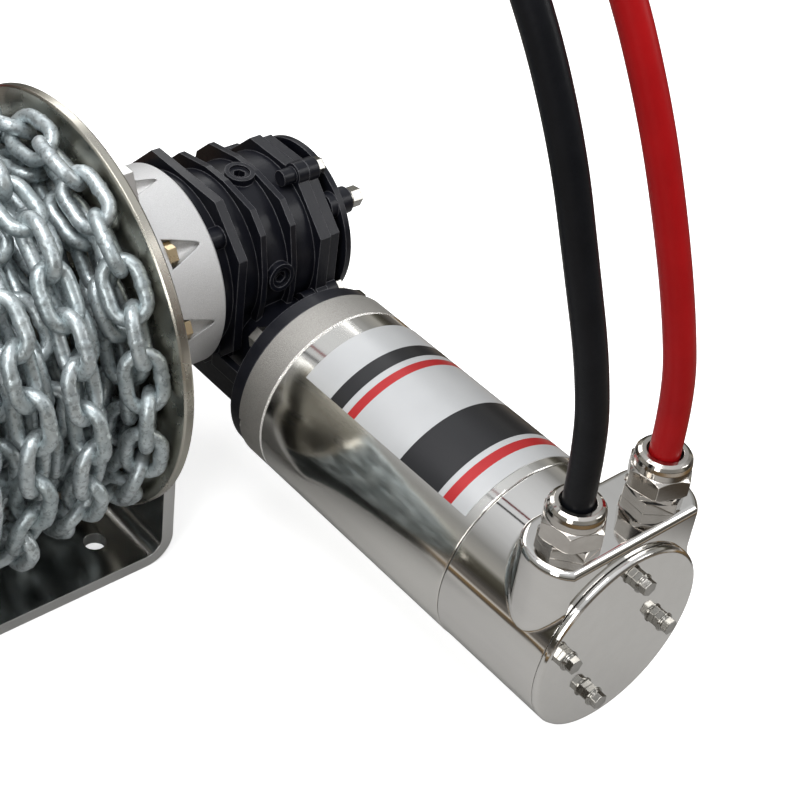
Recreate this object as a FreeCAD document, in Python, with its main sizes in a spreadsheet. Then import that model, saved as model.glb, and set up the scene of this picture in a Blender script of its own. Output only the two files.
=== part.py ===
import FreeCAD, Part
import math
import os
import re
import Sketcher

from FreeCAD import Placement, Rotation, Vector

# Electric drum anchor windlass: a chain drum in a bent plate frame, driven by a
# worm gearbox with a motor that lies across the drum axis.
#
# Row frame, millimetres: origin at the centre of the base bolt pattern on the
# underside of the base plate, +Z up, +X along the drum axis towards the gearbox.
# The motor points towards -Y.

DIMENSIONS = {
    # frame
    "plate_thickness": 6,
    "cheek_inside": 88.5,
    "base_half_depth": 65.5,
    "cheek_shoulder_height": 95,
    "cheek_height": 186.5,
    "cheek_top_half_width": 26,
    "bend_radius": 8,
    "hole_spacing_x": 133,
    "hole_spacing_y": 88,
    "hole_radius": 5.25,
    # drum
    "drum_axis_height": 111.5,
    "drum_half_width": 75,
    "flange_radius": 96,
    "flange_thickness": 5,
    "barrel_radius": 38,
    "barrel_wall": 3,
    "hub_radius": 20,
    "hub_nose": 84,
    "shaft_radius": 12.5,
    "shaft_left_end": -112,
    "shaft_right_end": 196,
    "chain_radius": 88,
    "chain_layer": 11,
    # left bearing
    "bush_radius": 17,
    "running_gap": 0.05,
    "left_housing_radius": 40,
    # drive housing
    "housing_radius": 47.2,
    "housing_end": 131.5,
    "foot_radius": 52,
    "foot_thickness": 6,
    "housing_screw_circle": 43.5,
    "screw_seat": 13.5,
    "pocket_radius": 7,
    # gearbox
    "case_radius": 37.5,
    "first_flange_start": 138.5,
    "first_flange_end": 143,
    "case_root_radius": 42,
    "rib_thickness": 3,
    "second_rib": 156,
    "third_rib": 172.5,
    "cover_flange": 188,
    "case_end": 194,
    "cover_end": 200,
    "lug_circle": 41.5,
    "lug_radius": 5.4,
    "disc_start": 205,
    "disc_thickness": 3,
    "disc_radius": 39.5,
    "wheel_chamber_radius": 31,
    "worm_housing_radius": 23,
    "plug_station": 167,
    # worm gear
    "motor_axis_x": 170,
    "motor_axis_height": 74.5,
    "wheel_teeth": 36,
    "gear_module": 1.5,
    "wheel_width": 10,
    # motor, distances forward of the drum axis
    "motor_flange_back": 60,
    "motor_flange_front": 67,
    "motor_flange_radius": 43.2,
    "ring_front": 84.4,
    "sleeve_radius": 44.45,
    "sleeve_front": 203.5,
    "cap_radius": 44.2,
    "cap_wall": 2.7,
    "cap_front": 259.7,
    "end_plate_thickness": 3,
    "motor_shaft_radius": 6,
    # gland boss and glands
    "gland_offset": 23.6,
    "gland_shift": 1,
    "gland_distance": 244.5,
    "boss_radius": 18.6,
    "boss_height": 51,
    "boss_edge": 3,
    "boss_foot": 5,
    "gland_across_flats": 24,
    "cable_radius": 6.3,
}

HOUSING_SCREW_ANGLES = [45 * i for i in range(8)]
DIAGONAL_ANGLES = [45 + 90 * i for i in range(4)]
COVER_BOLT_ANGLES = [22.5 + 90 * i for i in range(4)]
PLUG_ANGLES = (6, 85)

HOUSING_SCREW_RADIUS = 3
LEFT_SCREW_CIRCLE = 31
GEARBOX_SCREW_CIRCLE = 27
REAR_SCREW_CIRCLE = 19
MOTOR_SCREW_CIRCLE = 38
PLUG_RADIUS = 4.8

EAR_ANGLE = 49
EAR_CIRCLE = 33
FIXING_CIRCLE = 29.5
FIXING_CENTRE = (-4.7, 4.5)
ADAPTER_HEIGHT = 5.2
RED_LIFT = 5.8

# Corners of the gearbox's flat plates in one quarter turn: (degrees, distance from the drum axis).
FLANGE_CORNERS = [(28.7, 50.7), (61.3, 50.7)]
RIB_CORNERS = [(10, 40.5), (37, 45.3), (53, 45.3), (80, 40.5)]
COVER_CORNERS = [(22.5, 43.5), (67.5, 43.5)]

THREAD_TURNS = 6
WORM_ROOT_RADIUS = 8.4
WORM_TIP_RADIUS = 10.9

doc = FreeCAD.newDocument("anchor_windlass")
sheet = doc.addObject("Spreadsheet::Sheet", "dims")
nodes = {}


def fill_sheet():
    for row, (alias, value) in enumerate(DIMENSIONS.items(), start=1):
        sheet.set("A%d" % row, alias)
        sheet.set("B%d" % row, str(value))
        sheet.setAlias("B%d" % row, alias)
    doc.recompute()


def size(alias):
    return float(sheet.get(alias))


def bound(text):
    """Turn plain alias words of an expression into references to the sheet."""
    return re.sub(r"[a-z_]+", lambda word: "dims." + word.group(0)
                  if word.group(0) in DIMENSIONS else word.group(0), str(text))


def value(text):
    """Number that an expression stands for, for placing repeated pieces."""
    return float(sheet.evalExpression(bound(text)))


# Frames in which turned pieces are drawn: the local X axis is the turning axis.
DRUM = (("0", "0", "drum_axis_height"), Rotation())
MOTOR = (("motor_axis_x", "0", "motor_axis_height"), Rotation(Vector(0, 0, 1), -90))


def upright(x, y, z):
    """Frame whose turning axis stands straight up at a point."""
    return ((x, y, z), Rotation(Vector(0, 1, 0), -90))


def put(obj, frame):
    origin, turn = frame
    obj.Placement = Placement(Vector(0, 0, 0), turn)
    for axis, text in zip("xyz", origin):
        obj.setExpression("Placement.Base." + axis, bound(text))
    return obj


def origin_plane(body, role):
    return next(f for f in body.Origin.OriginFeatures if f.Role == role)


def new_sketch(body, name, role="XZ_Plane"):
    sketch = body.newObject("Sketcher::SketchObject", name)
    sketch.AttachmentSupport = [(origin_plane(body, role), "")]
    sketch.MapMode = "FlatFace"
    return sketch


def outline(sketch, points):
    """Closed outline of straight lines, each corner held by two bound distances."""
    corners = [Vector(value(along), value(across), 0) for along, across in points]
    count = len(corners)
    for i in range(count):
        sketch.addGeometry(Part.LineSegment(corners[i], corners[(i + 1) % count]), False)
    for i in range(count):
        sketch.addConstraint(Sketcher.Constraint("Coincident", i, 2, (i + 1) % count, 1))
    for i, (along, across) in enumerate(points):
        for kind, text, place in (("DistanceX", along, corners[i].x), ("DistanceY", across, corners[i].y)):
            number = sketch.addConstraint(Sketcher.Constraint(kind, -1, 1, i, 1, place))
            sketch.setExpression("Constraints[%d]" % number, bound(text))


def turned(name, points, frame):
    """Body of revolution from corners given as (distance along axis, radius)."""
    body = doc.addObject("PartDesign::Body", name)
    sketch = new_sketch(body, name + "_profile")
    outline(sketch, points)
    spin = body.newObject("PartDesign::Revolution", name + "_turn")
    spin.Profile = sketch
    spin.ReferenceAxis = (sketch, ["H_Axis"])
    spin.Angle = 360
    sketch.Visibility = False
    return put(body, frame)


def tube(name, start, end, inner, outer, frame):
    return turned(name, [(start, inner), (end, inner), (end, outer), (start, outer)], frame)


def rod(name, start, end, radius, frame, across=(0, 0)):
    """Plain cylinder along a frame's turning axis, set off across it if need be."""
    obj = doc.addObject("Part::Cylinder", name)
    obj.setExpression("Radius", bound(radius))
    obj.setExpression("Height", bound("%s - (%s)" % (end, start)))
    return lie_along(obj, start, frame, across)


def lie_along(obj, start, frame, across=(0, 0), spin=0):
    """Lay an object that rises along its own Z onto a frame's turning axis."""
    origin, turn = frame
    base = Vector(value(origin[0]), value(origin[1]), value(origin[2]))
    local = Placement(Vector(value(start), across[0], across[1]), Rotation(Vector(0, 1, 0), 90))
    local = local.multiply(Placement(Vector(0, 0, 0), Rotation(Vector(0, 0, 1), spin)))
    obj.Placement = Placement(base, turn).multiply(local)
    return obj


def prism(name, sides, start, end, corner_radius, frame, across=(0, 0), spin=0):
    """Regular prism along a frame's turning axis."""
    obj = doc.addObject("Part::Prism", name)
    obj.Polygon = sides
    obj.setExpression("Circumradius", bound(corner_radius))
    obj.setExpression("Height", bound("%s - (%s)" % (end, start)))
    return lie_along(obj, start, frame, across, spin)


def block(name, low, high):
    """Box between two corners, all six faces bound to the sheet."""
    obj = doc.addObject("Part::Box", name)
    for side, axis, a, b in zip(("Length", "Width", "Height"), "xyz", low, high):
        obj.setExpression(side, bound("%s - (%s)" % (b, a)))
        obj.setExpression("Placement.Base." + axis, bound(a))
    return obj


def fuse(name, pieces):
    obj = doc.addObject("Part::MultiFuse", name)
    obj.Shapes = pieces
    obj.Refine = True
    return obj


def cut(name, base, tools):
    tool = tools[0] if len(tools) == 1 else fuse(name + "_tools", tools)
    obj = doc.addObject("Part::Cut", name)
    obj.Base = base
    obj.Tool = tool
    obj.Refine = True
    return obj


def group(name, pieces):
    obj = doc.addObject("Part::Compound", name)
    obj.Links = pieces
    return obj


def node(name, obj):
    """Register an object as the sub-part of that name."""
    obj.Label = name
    nodes[name] = obj
    return obj


def on_circle(radius, degrees):
    """Offset across the axis; zero degrees is the top, growing towards -Y on the drum."""
    angle = math.radians(degrees)
    return (-radius * math.sin(angle), radius * math.cos(angle))


def hex_screw(name, frame, across, head_at, head_length, flats, shank_radius, shank_end, spin=0):
    """Hexagon head screw: the shank runs from the head face to shank_end."""
    start, end = sorted((head_at, head_at + head_length))
    head = prism(name + "_head", 6, start, end, flats / math.sqrt(3), frame, across, spin)
    low, high = sorted((head_at, shank_end))
    shank = rod(name + "_shank", low, high, shank_radius, frame, across)
    return fuse(name, [head, shank])


# --- frame ------------------------------------------------------------------

def make_base_frame():
    body = doc.addObject("PartDesign::Body", "base_frame")
    side = new_sketch(body, "cheek_outline", "YZ_Plane")
    half = "base_half_depth"
    top = "cheek_top_half_width"
    outline(side, [("-" + half, "0"), (half, "0"), (half, "cheek_shoulder_height"),
                   (top, "cheek_height"), ("-" + top, "cheek_height"),
                   ("-" + half, "cheek_shoulder_height")])
    pad = body.newObject("PartDesign::Pad", "frame_block")
    pad.Profile = side
    pad.Midplane = True
    pad.setExpression("Length", bound("2 * cheek_inside + 2 * plate_thickness"))
    inside = new_sketch(body, "space_between_cheeks")
    outline(inside, [("-cheek_inside", "plate_thickness"), ("cheek_inside", "plate_thickness"),
                     ("cheek_inside", "cheek_height + 5"), ("-cheek_inside", "cheek_height + 5")])
    doc.recompute()
    pocket = body.newObject("PartDesign::Pocket", "drum_space")
    pocket.Profile = inside
    pocket.Midplane = True
    pocket.setExpression("Length", bound("2 * base_half_depth + 10"))
    doc.recompute()
    outer = round_edges(body, pocket, "outer_bends", "bend_radius + plate_thickness", 0,
                        size("cheek_inside") + size("plate_thickness"))
    inner = round_edges(body, outer, "inner_bends", "bend_radius", size("plate_thickness"),
                        size("cheek_inside"))
    body.Tip = inner
    doc.recompute()
    holes = [upright_hole(x, y) for x in (-0.5, 0.5) for y in (-0.5, 0.5)]
    left = rod("left_bush_bore", "-cheek_inside - plate_thickness - 1", "-cheek_inside + 1", "bush_radius",
               DRUM)
    right = rod("right_shaft_bore", "cheek_inside - 1", "cheek_inside + plate_thickness + 1", "hub_radius",
                DRUM)
    return node("base_frame", cut("base_frame_cut", body, holes + [left, right] + cheek_screw_holes()))


def round_edges(body, feature, name, radius, z, x):
    """Round the two edges along Y that lie at height z and at plus and minus x."""
    names = []
    for i, edge in enumerate(feature.Shape.Edges, start=1):
        middle = edge.BoundBox.Center
        long_enough = edge.BoundBox.YLength > size("base_half_depth")
        if long_enough and abs(middle.z - z) < 0.01 and abs(abs(middle.x) - x) < 0.01:
            names.append("Edge%d" % i)
    fillet = body.newObject("PartDesign::Fillet", name)
    fillet.Base = (feature, names)
    fillet.setExpression("Radius", bound(radius))
    doc.recompute()
    return fillet


def upright_hole(x, y):
    frame = upright(x * size("hole_spacing_x"), y * size("hole_spacing_y"), 0)
    return rod("mount_hole", -1, "plate_thickness + 1", "hole_radius", frame)


def cheek_screw_holes():
    outside = "cheek_inside + plate_thickness"
    right = [rod("screw_hole", "cheek_inside - 1", outside + " + 1", HOUSING_SCREW_RADIUS, DRUM,
                 on_circle(size("housing_screw_circle"), a)) for a in HOUSING_SCREW_ANGLES]
    left = [rod("screw_hole", "-cheek_inside - plate_thickness - 1", "-cheek_inside + 1",
                HOUSING_SCREW_RADIUS, DRUM, on_circle(LEFT_SCREW_CIRCLE, a))
            for a in DIAGONAL_ANGLES]
    return right + left


# --- drum -------------------------------------------------------------------

def make_drum():
    half = "drum_half_width"
    inner = "barrel_radius - barrel_wall"
    node("drum_barrel", tube("drum_barrel", "-" + half, half, inner, "barrel_radius", DRUM))
    for side in ("right", "left"):
        make_flange(side)
    node("drum_hubs", group("drum_hubs", [make_hub(side) for side in ("right", "left")]))
    shaft = turned("drum_shaft", [("shaft_left_end", 0), ("shaft_right_end", 0),
                                  ("shaft_right_end", "shaft_radius - 1"),
                                  ("shaft_right_end - 1", "shaft_radius"),
                                  ("shaft_left_end + 1", "shaft_radius"),
                                  ("shaft_left_end", "shaft_radius - 1")], DRUM)
    key_low = ("motor_axis_x - 8", -3, "drum_axis_height + shaft_radius - 3")
    key_high = ("motor_axis_x + 8", 3, "drum_axis_height + shaft_radius + 3")
    key = block("wheel_key", key_low, key_high)
    bolt_hole = rod("end_bolt_hole", "shaft_right_end - 18", "shaft_right_end + 1", 4, DRUM)
    node("drum_shaft", cut("drum_shaft_cut", shaft, [block("key_seat", key_low, key_high), bolt_hole]))
    node("wheel_key", key)
    ring = tube("wound_chain", "-drum_half_width + 0.5", "drum_half_width - 0.5",
                "chain_radius - chain_layer", "chain_radius", DRUM)
    node("wound_chain", ring)
    washer = tube("shaft_end_washer", "shaft_right_end", "shaft_right_end + 2", 4, 15, DRUM)
    bolt_at = size("shaft_right_end") + 2
    bolt = hex_screw("shaft_end_bolt", DRUM, (0, 0), bolt_at, 4.5, 13, 4, bolt_at - 20)
    node("shaft_end_fixing", group("shaft_end_fixing", [washer, bolt]))


def make_flange(side):
    name = "drum_flange_" + side
    outside = "drum_half_width + flange_thickness"
    points = [("drum_half_width", "hub_radius"), (outside, "hub_radius"),
              (outside, "flange_radius - 0.8"), (outside + " - 0.8", "flange_radius"),
              ("drum_half_width + 0.8", "flange_radius"), ("drum_half_width", "flange_radius - 0.8")]
    node(name, turned(name, mirrored(points) if side == "left" else points, DRUM))


def mirrored(points):
    return [("-(%s)" % along, across) for along, across in points]


def make_hub(side):
    points = [(62, "shaft_radius"), ("hub_nose", "shaft_radius"), ("hub_nose", "hub_radius"),
              (66, "hub_radius"), (66, "barrel_radius - barrel_wall"), (62, "barrel_radius - barrel_wall")]
    return turned("drum_hub_" + side, mirrored(points) if side == "left" else points, DRUM)


# --- left bearing -----------------------------------------------------------

def make_left_bearing():
    face = "-cheek_inside - plate_thickness"
    housing = turned("left_bearing_housing", [
        (face, "bush_radius"), (face, "left_housing_radius"), (face + " - 8", "left_housing_radius"),
        (face + " - 10", "left_housing_radius - 2"), (face + " - 10", 25), (face + " - 22", 23),
        (face + " - 24", 21), (face + " - 24", 0), (face + " - 20", 0), (face + " - 20", "bush_radius")], DRUM)
    holes = [rod("screw_hole", face + " - 11", face + " + 1", HOUSING_SCREW_RADIUS, DRUM,
                 on_circle(LEFT_SCREW_CIRCLE, a)) for a in DIAGONAL_ANGLES]
    node("left_bearing_housing", cut("left_bearing_housing_cut", housing, holes))
    bore = "shaft_radius + running_gap"
    bush = turned("left_bush", [(face + " - 19", bore), ("-cheek_inside + 2.5", bore),
                                ("-cheek_inside + 2.5", 22), ("-cheek_inside", 22),
                                ("-cheek_inside", "bush_radius"), (face + " - 19", "bush_radius")], DRUM)
    node("left_bush", bush)
    head_at = value(face + " - 10")
    screws = [hex_screw("left_screw", DRUM, on_circle(LEFT_SCREW_CIRCLE, a), head_at, -4, 10,
                        HOUSING_SCREW_RADIUS, -size("cheek_inside")) for a in DIAGONAL_ANGLES]
    node("left_housing_screws", group("left_housing_screws", screws))


# --- drive housing ----------------------------------------------------------

def make_drive_housing():
    face = "cheek_inside + plate_thickness"
    shell = turned("housing_shell", [
        (face, 34), (face, "foot_radius"), (face + " + foot_thickness", "foot_radius"),
        (face + " + foot_thickness + 3", "housing_radius"), ("housing_end - 1", "housing_radius"),
        ("housing_end", "housing_radius - 1"), ("housing_end", "hub_radius"),
        ("housing_end - 6", "hub_radius"), ("housing_end - 6", 34)], DRUM)
    tools = []
    for a in HOUSING_SCREW_ANGLES:
        place = on_circle(size("housing_screw_circle"), a)
        seat = face + " + screw_seat"
        tools.append(rod("screw_hole", face + " - 1", seat + " + 1", HOUSING_SCREW_RADIUS, DRUM, place))
        tools.append(rod("head_pocket", seat, seat + " + 5", "pocket_radius - 0.6", DRUM, place))
        tools.append(pocket_run_out(a))
    for a in DIAGONAL_ANGLES:
        tools.append(rod("screw_hole", "housing_end - 7", "housing_end + 1", 2.5, DRUM,
                         on_circle(GEARBOX_SCREW_CIRCLE, a)))
    node("drive_housing", cut("drive_housing", shell, tools))
    head_at = value(face + " + screw_seat")
    screws = [hex_screw("housing_screw", DRUM, on_circle(size("housing_screw_circle"), a), head_at, 4.2, 10,
                        HOUSING_SCREW_RADIUS, size("cheek_inside"), 30) for a in HOUSING_SCREW_ANGLES]
    node("drive_housing_screws", group("drive_housing_screws", screws))


def pocket_run_out(degrees):
    """Tapered end of a screw pocket, which leaves the housing in a point."""
    obj = doc.addObject("Part::Cone", "pocket_run_out")
    obj.setExpression("Radius1", bound("pocket_radius"))
    obj.Radius2 = 0.8
    obj.Height = 18
    return lie_along(obj, "cheek_inside + plate_thickness + screw_seat", DRUM,
                     on_circle(size("housing_screw_circle") + 2.3, degrees))


# --- gearbox ----------------------------------------------------------------

def flat_plate(name, start, end, quarter):
    """Plate square to the drum axis whose corners repeat every quarter turn."""
    body = doc.addObject("PartDesign::Body", name)
    sketch = new_sketch(body, name + "_outline", "YZ_Plane")
    corners = []
    for turn in range(4):
        for degrees, radius in quarter:
            across = on_circle(radius, degrees + 90 * turn)
            corners.append(("%.3f" % across[0], "%.3f" % across[1]))
    outline(sketch, corners)
    pad = body.newObject("PartDesign::Pad", name + "_pad")
    pad.Profile = sketch
    pad.setExpression("Length", bound("%s - (%s)" % (end, start)))
    sketch.Visibility = False
    return put(body, ((start, "0", "drum_axis_height"), Rotation()))


def make_gearbox_case():
    axis = "motor_axis_height"
    solids = [
        rod("case_barrel", "housing_end", "case_end", "case_radius", DRUM),
        rod("case_root", "housing_end", "first_flange_end", "case_root_radius", DRUM),
        flat_plate("first_flange_plate", "first_flange_start", "first_flange_end", FLANGE_CORNERS),
        flat_plate("second_rib_plate", "second_rib", "second_rib + rib_thickness", RIB_CORNERS),
        flat_plate("third_rib_plate", "third_rib", "third_rib + rib_thickness", RIB_CORNERS),
        flat_plate("cover_flange_plate", "cover_flange", "case_end", COVER_CORNERS),
        rod("worm_housing", "-40", "motor_flange_back + 1", "worm_housing_radius", MOTOR),
        rod("motor_flange", "motor_flange_back", "motor_flange_front", "motor_flange_radius", MOTOR),
        block("worm_cheeks", ("motor_axis_x - 26", -34, axis), ("motor_axis_x + 23.5", 34, "drum_axis_height")),
        block("worm_sump", ("motor_axis_x - 20", -34, axis + " - 30"), ("motor_axis_x + 20", 34, axis)),
    ]
    for a in COVER_BOLT_ANGLES:
        place = on_circle(size("lug_circle"), a)
        solids.append(rod("lug", "cover_flange - 7", "case_end", 3.8, DRUM, place))
        solids.append(rod("lug", "cover_flange", "case_end", "lug_radius", DRUM, place))
    for a in DIAGONAL_ANGLES:
        place = on_circle(size("case_root_radius") - 0.5, a)
        solids.append(rod("flange_boss", "housing_end", "first_flange_end", 5, DRUM, place))
    solids += [rod("plug_boss", 30, 40.4, 6.9, plug_frame(a)) for a in PLUG_ANGLES]
    for offset in (-30, 30):
        solids.append(rib_to_motor_flange(offset))
    tools = [
        rod("wheel_chamber", 150, "cover_flange + 2", "wheel_chamber_radius", DRUM),
        rod("cover_spigot_bore", "cover_flange", "case_end + 1", 26, DRUM),
        rod("seal_bore", "housing_end - 1", 140, 20, DRUM),
        rod("bearing_bore", 140, 150, 22, DRUM),
        rod("worm_bore", -41, "motor_flange_front + 1", 15, MOTOR),
        rod("coupling_space", 44, "motor_flange_front + 1", 19, MOTOR),
    ]
    tools += [rod("plug_hole", 20, 45, PLUG_RADIUS, plug_frame(a)) for a in PLUG_ANGLES]
    for a in COVER_BOLT_ANGLES:
        tools.append(rod("bolt_hole", "cover_flange - 5", "case_end + 1", 2.5, DRUM,
                         on_circle(size("lug_circle"), a)))
    for a in DIAGONAL_ANGLES:
        tools.append(rod("screw_hole", "housing_end - 1", "housing_end + 9", 2.5, DRUM,
                         on_circle(GEARBOX_SCREW_CIRCLE, a)))
    for a in DIAGONAL_ANGLES:
        tools.append(rod("screw_hole", "motor_flange_back - 1", "motor_flange_front + 1", 3, MOTOR,
                         on_circle(MOTOR_SCREW_CIRCLE, a)))
        tools.append(rod("screw_head_space", "motor_flange_back - 7", "motor_flange_back", 6.5, MOTOR,
                         on_circle(MOTOR_SCREW_CIRCLE, a)))
    for a in DIAGONAL_ANGLES:
        tools.append(rod("screw_hole", -41, -32, 2, MOTOR, on_circle(REAR_SCREW_CIRCLE, a)))
    node("gearbox_case", cut("gearbox_case", fuse("case_solid", solids), tools))


def plug_frame(degrees):
    """Frame of a radial plug: its turning axis leaves the drum axis at that angle."""
    angle = math.radians(degrees)
    out = Vector(0, -math.sin(angle), math.cos(angle))
    return (("plug_station", "0", "drum_axis_height"), Rotation(Vector(1, 0, 0), out))


def rib_to_motor_flange(offset):
    """Web that stiffens the motor flange against the worm housing."""
    low = ("motor_axis_x + (%s) - 2" % offset, "-motor_flange_back - 1", "motor_axis_height - 4")
    high = ("motor_axis_x + (%s) + 2" % offset, -30, "motor_axis_height + 4")
    return block("flange_web", low, high)


def make_gearbox_cover():
    plate = flat_plate("cover_plate", "case_end", "cover_end", [(d, r - 1.5) for d, r in COVER_CORNERS])
    lugs = [rod("cover_lug", "case_end", "cover_end", "lug_radius", DRUM,
                on_circle(size("lug_circle"), a)) for a in COVER_BOLT_ANGLES]
    neck = rod("cover_neck", "case_end", "disc_start", 24, DRUM)
    spigot = rod("cover_spigot", "case_end - 4", "case_end", 26, DRUM)
    hollow = rod("cover_hollow", "case_end - 5", "disc_start - 1.5", 19, DRUM)
    holes = [rod("bolt_hole", "case_end - 1", "cover_end + 1", 2.5, DRUM,
                 on_circle(size("lug_circle"), a)) for a in COVER_BOLT_ANGLES]
    solid = fuse("cover_solid", [plate, neck, spigot] + lugs)
    node("gearbox_end_cover", cut("gearbox_end_cover", solid, [hollow] + holes))
    head_at = size("cover_end")
    bolts = [hex_screw("cover_bolt", DRUM, on_circle(size("lug_circle"), a), head_at, 3.8, 8, 2.5,
                       size("cover_flange") - 5, 15) for a in COVER_BOLT_ANGLES]
    node("gearbox_cover_bolts", group("gearbox_cover_bolts", bolts))


def make_end_disc():
    place = on_circle(EAR_CIRCLE, EAR_ANGLE)
    end = "disc_start + disc_thickness"
    disc = rod("disc", "disc_start", end, "disc_radius", DRUM)
    ear = rod("disc_ear", "disc_start - 4", end + " + 5.5", 6.4, DRUM, place)
    hole = rod("ear_hole", "disc_start - 3.6", end + " + 6", 4, DRUM, place)
    node("gearbox_end_disc", cut("gearbox_end_disc", fuse("disc_solid", [disc, ear]), [hole]))
    head_at = value(end + " + 5.5")
    collar = rod("breather_collar", head_at, head_at + 1.6, 5, DRUM, place)
    plug = hex_screw("breather_screw", DRUM, place, head_at + 1.6, 5.6, 8.6, 4, head_at - 12, 20)
    node("breather_plug", fuse("breather_plug", [collar, plug]))


def make_plugs():
    plugs = []
    for degrees in PLUG_ANGLES:
        frame = plug_frame(degrees)
        plug = rod("plug_solid", 31.5, 39.2, PLUG_RADIUS, frame)
        socket = prism("plug_socket", 6, 35.5, 40, 2.9, frame)
        plugs.append(cut("filler_plug", plug, [socket]))
    node("filler_plugs", group("filler_plugs", plugs))


def make_gearbox_inside():
    shaft = "shaft_radius"
    node("shaft_seal", tube("shaft_seal", "housing_end", 139, shaft + " + 0.1", "hub_radius", DRUM))
    node("main_bearing", tube("main_bearing", 140, 149, shaft + " + running_gap", 22, DRUM))
    node("end_bearing", tube("end_bearing", "case_end - 5", "case_end + 2", shaft + " + running_gap", 19, DRUM))
    screws = []
    head_at = size("housing_end") - 6
    for a in DIAGONAL_ANGLES:
        screws.append(hex_screw("gearbox_screw", DRUM, on_circle(GEARBOX_SCREW_CIRCLE, a), head_at, -4, 8, 2.5,
                                head_at + 15))
    node("gearbox_screws", group("gearbox_screws", screws))


# --- worm gear --------------------------------------------------------------

def make_worm_wheel():
    module = size("gear_module")
    teeth = int(size("wheel_teeth"))
    pitch_radius = module * teeth / 2
    body = doc.addObject("PartDesign::Body", "worm_wheel")
    rim = new_sketch(body, "wheel_rim", "YZ_Plane")
    rim.addGeometry(Part.Circle(Vector(0, 0, 0), Vector(0, 0, 1), pitch_radius - 1.6), False)
    rim.addGeometry(Part.Circle(Vector(0, 0, 0), Vector(0, 0, 1), size("shaft_radius")), False)
    for circle, text in ((0, "gear_module * wheel_teeth / 2 - 1.6"), (1, "shaft_radius")):
        number = rim.addConstraint(Sketcher.Constraint("Radius", circle, 20.0))
        rim.setExpression("Constraints[%d]" % number, bound(text))
    pad = body.newObject("PartDesign::Pad", "wheel_disc")
    pad.Profile = rim
    pad.Midplane = True
    pad.setExpression("Length", bound("wheel_width"))
    tooth = new_sketch(body, "tooth_outline", "YZ_Plane")
    root = pitch_radius - 2.2
    tip = pitch_radius + 1.0
    corners = [(-1.1, root), (1.1, root), (0.55, tip), (-0.55, tip)]
    outline(tooth, [("%.3f" % y, "%.3f" % z) for y, z in corners])
    one = body.newObject("PartDesign::Pad", "one_tooth")
    one.Profile = tooth
    one.Midplane = True
    one.setExpression("Length", bound("wheel_width"))
    doc.recompute()
    ring = body.newObject("PartDesign::PolarPattern", "all_teeth")
    ring.Originals = [one]
    ring.Axis = (origin_plane(body, "X_Axis"), [""])
    ring.Angle = 360
    ring.Occurrences = teeth
    body.Tip = ring
    put(body, (("motor_axis_x", "0", "drum_axis_height"), Rotation(Vector(1, 0, 0), 180.0 + 180.0 / teeth)))
    key = block("wheel_key_seat", ("motor_axis_x - 8", -3, "drum_axis_height"),
                ("motor_axis_x + 8", 3, "drum_axis_height + shaft_radius + 3"))
    node("worm_wheel", cut("worm_wheel_cut", body, [key]))


def make_worm():
    lead = math.pi * size("gear_module")
    helix = doc.addObject("Part::Helix", "thread_path")
    helix.setExpression("Pitch", bound("3.14159265 * gear_module"))
    helix.setExpression("Height", bound("%d * 3.14159265 * gear_module" % THREAD_TURNS))
    helix.Radius = WORM_ROOT_RADIUS
    helix.LocalCoord = 0
    inside = WORM_ROOT_RADIUS - 0.6
    corners = [Vector(inside, 0, -1.05), Vector(WORM_TIP_RADIUS, 0, -0.65),
               Vector(WORM_TIP_RADIUS, 0, 0.65), Vector(inside, 0, 1.05)]
    profile = doc.addObject("Part::Polygon", "thread_section")
    profile.Nodes = corners
    profile.Close = True
    thread = doc.addObject("Part::Sweep", "worm_thread")
    thread.Sections = [profile]
    thread.Spine = (helix, ["Edge1"])
    thread.Solid = True
    thread.Frenet = True
    doc.recompute()
    length = THREAD_TURNS * lead
    core = doc.addObject("Part::Cylinder", "worm_core")
    core.Radius = WORM_ROOT_RADIUS
    core.Height = length + 6
    core.Placement = Placement(Vector(0, 0, -3), Rotation())
    journal = doc.addObject("Part::Cylinder", "worm_journal")
    journal.setExpression("Radius", bound("motor_shaft_radius"))
    journal.Height = 96
    journal.Placement = Placement(Vector(0, 0, -24), Rotation())
    worm = fuse("worm", [core, thread, journal])
    lie_along(worm, -length / 2, MOTOR, (0, 0), 180)
    node("worm", worm)
    return length


def make_worm_bearings():
    bore = "motor_shaft_radius + running_gap"
    pair = [tube("worm_bearing", start, start + 10, bore, 15, MOTOR) for start in (-38, 33)]
    node("worm_bearings", group("worm_bearings", pair))
    cover = turned("worm_cover_solid", [(-45, 0), (-40, 0), (-40, 22.5), (-44.3, 22.5), (-45, 21.8)], MOTOR)
    holes = [rod("screw_hole", -46, -39, 2, MOTOR, on_circle(REAR_SCREW_CIRCLE, a)) for a in DIAGONAL_ANGLES]
    node("worm_bearing_cover", cut("worm_bearing_cover", cover, holes))
    screws = [hex_screw("rear_screw", MOTOR, on_circle(REAR_SCREW_CIRCLE, a), -45, -3, 7, 2, -32)
              for a in DIAGONAL_ANGLES]
    node("worm_cover_screws", group("worm_cover_screws", screws))


# --- motor ------------------------------------------------------------------

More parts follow.
